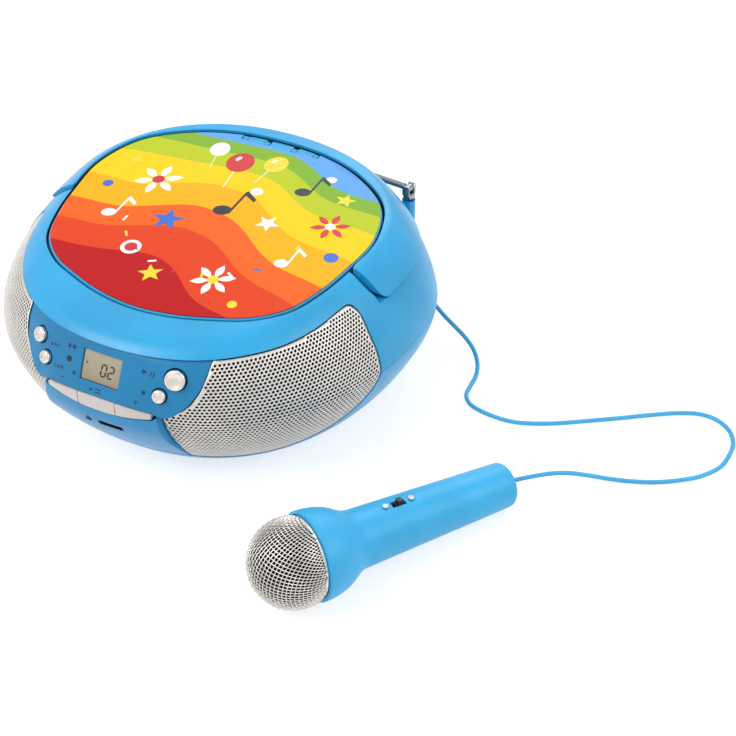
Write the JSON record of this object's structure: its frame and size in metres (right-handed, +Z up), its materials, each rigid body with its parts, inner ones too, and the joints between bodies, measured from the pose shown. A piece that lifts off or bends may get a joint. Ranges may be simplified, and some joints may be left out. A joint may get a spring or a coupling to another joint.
{
  "type": "portable karaoke disc player",
  "caption": "Round top-loading disc player with a hinged lid, speaker grilles, a carry handle, a rod antenna and a wired microphone.",
  "frame": {"origin": "On the surface that the object stands on, under the middle of the body.", "axes": "+Z up; the front with the controls and loudspeakers faces -Y; +X to the right of a person who faces the front"},
  "size_m": [0.4641, 0.319, 0.1152],
  "materials": {
    "body_blue": "satin",
    "panel_blue": "satin",
    "mic_blue": "glossy",
    "cord_blue": "satin",
    "pearl_plastic": "satin",
    "silver_mesh": "satin",
    "black_plastic": "matte",
    "plain_steel": "brushed",
    "speaker_cone": "matte",
    "button_chrome": "polished",
    "display_glass": "glossy",
    "display_face": "matte",
    "printed_label": "satin",
    "black_rubber": "matte",
    "green_board": "satin",
    "transformer_iron": "dull",
    "antenna_chrome": "polished"
  },
  "bodies": {
    "case": {"upper_shell": "body_blue", "lower_shell": "body_blue", "control_panel": "panel_blue", "front_bezel": "body_blue", "left_grille": "silver_mesh", "left_baffle": "black_plastic", "left_speaker_frame": "plain_steel", "left_speaker_cone": "speaker_cone", "right_grille": "silver_mesh", "right_baffle": "black_plastic", "right_speaker_frame": "plain_steel", "right_speaker_cone": "speaker_cone", "stereo_led": "black_plastic", "display_window": "display_glass", "display_module": "display_face", "usb_socket": "plain_steel", "lid_hinge_pin": "plain_steel", "disc_well": "black_plastic", "drive_chassis": "plain_steel", "guide_rods": "plain_steel", "spindle_motor": "plain_steel", "sled_motor": "plain_steel", "battery_contacts": "plain_steel", "foot_front_left": "black_rubber", "foot_front_right": "black_rubber", "foot_rear_left": "black_rubber", "foot_rear_right": "black_rubber", "shell_screw_left": "plain_steel", "shell_screw_right": "plain_steel", "main_board": "green_board", "transformer": "transformer_iron", "power_inlet": "black_plastic", "mic_jack": "black_plastic", "mic_plug": "black_plastic", "mic_body": "mic_blue", "mic_head": "silver_mesh", "mic_capsule": "black_plastic", "mic_screw_front": "plain_steel", "mic_screw_rear": "plain_steel", "mic_cord": "cord_blue"},
    "lid": {"lid": "body_blue", "lid_label": "printed_label"},
    "handle": {"carry_handle": "body_blue"},
    "turntable": {"turntable": "black_plastic"},
    "sled": {"laser_sled": "black_plastic"},
    "pinion": {"sled_pinion": "pearl_plastic"},
    "door": {"battery_door": "body_blue"},
    "button_ur": {"button_upper_right": "button_chrome"},
    "button_lr": {"button_lower_right": "button_chrome"},
    "button_ul": {"button_upper_left": "button_chrome"},
    "button_ll": {"button_lower_left": "button_chrome"},
    "key_l": {"key_left": "pearl_plastic"},
    "key_m": {"key_middle": "pearl_plastic"},
    "key_r": {"key_right": "pearl_plastic"},
    "antenna_base": {"antenna_swivel": "antenna_chrome"},
    "antenna_tube": {"antenna_tube_1": "antenna_chrome"},
    "antenna_middle": {"antenna_tube_2": "antenna_chrome"},
    "antenna_tip": {"antenna_tip_rod": "antenna_chrome"},
    "mic_slider": {"mic_switch": "black_plastic"}
  },
  "joints": [
    {"name": "lid_hinge", "type": "hinge", "parent": "case", "child": "lid", "pos_m": [0, 0.09243, 0.11213], "axis": [-1, 0, 0], "range_deg": [0, 65]},
    {"name": "handle_pivot", "type": "hinge", "parent": "case", "child": "handle", "pos_m": [0, 0.006, 0.1015], "axis": [1, 0, 0], "range_deg": [0, 95]},
    {"name": "turntable_spin", "type": "hinge", "parent": "case", "child": "turntable", "pos_m": [0, 0.014, 0.094], "axis": [0, 0, 1], "continuous": true},
    {"name": "sled_slide", "type": "slide", "parent": "case", "child": "sled", "axis": [0, -1, 0], "range_m": [0, 0.034]},
    {"name": "pinion_spin", "type": "hinge", "parent": "case", "child": "pinion", "pos_m": [0.03345, -0.028, 0.0805], "axis": [0, 0, 1], "range_deg": [0, 279]},
    {"name": "door_slide", "type": "slide", "parent": "case", "child": "door", "axis": [0, 1, 0], "range_m": [0, 0.009]},
    {"name": "button_ur_press", "type": "slide", "parent": "case", "child": "button_ur", "axis": [-0.2965, 0.8557, -0.4242], "range_m": [0, 0.0012], "stiffness_N_per_m": 500, "springref_m": -0.001},
    {"name": "button_lr_press", "type": "slide", "parent": "case", "child": "button_lr", "axis": [-0.2454, 0.8658, -0.4361], "range_m": [0, 0.0012], "stiffness_N_per_m": 500, "springref_m": -0.001},
    {"name": "button_ul_press", "type": "slide", "parent": "case", "child": "button_ul", "axis": [0.3063, 0.8534, -0.4218], "range_m": [0, 0.0012], "stiffness_N_per_m": 500, "springref_m": -0.001},
    {"name": "button_ll_press", "type": "slide", "parent": "case", "child": "button_ll", "axis": [0.2576, 0.8635, -0.4336], "range_m": [0, 0.0012], "stiffness_N_per_m": 500, "springref_m": -0.001},
    {"name": "key_l_press", "type": "slide", "parent": "case", "child": "key_l", "axis": [0, 1, 0], "range_m": [0, 0.0015], "stiffness_N_per_m": 500, "springref_m": -0.001},
    {"name": "key_m_press", "type": "slide", "parent": "case", "child": "key_m", "axis": [0, 1, 0], "range_m": [0, 0.0015], "stiffness_N_per_m": 500, "springref_m": -0.001},
    {"name": "key_r_press", "type": "slide", "parent": "case", "child": "key_r", "axis": [0, 1, 0], "range_m": [0, 0.0015], "stiffness_N_per_m": 500, "springref_m": -0.001},
    {"name": "antenna_turn", "type": "hinge", "parent": "case", "child": "antenna_base", "pos_m": [0.085, 0.1088, 0.0889], "axis": [0, 0, -1], "range_deg": [0, 180]},
    {"name": "antenna_tilt", "type": "hinge", "parent": "antenna_base", "child": "antenna_tube", "pos_m": [0.085, 0.1088, 0.0969], "axis": [0.225, 0.9744, 0], "range_deg": [0, 95]},
    {"name": "antenna_slide_1", "type": "slide", "parent": "antenna_tube", "child": "antenna_middle", "axis": [-0.9697, 0.2239, -0.0976], "range_m": [0, 0.08]},
    {"name": "antenna_slide_2", "type": "slide", "parent": "antenna_middle", "child": "antenna_tip", "axis": [-0.9697, 0.2239, -0.0976], "range_m": [0, 0.08]},
    {"name": "mic_switch_slide", "type": "slide", "parent": "case", "child": "mic_slider", "axis": [-0.5222, -0.8471, 0.0984], "range_m": [0, 0.0016]}
  ],
  "couplings": [
    {"joint": "pinion_spin", "follows": "sled_slide", "rad_per_m": 142.86}
  ]
}
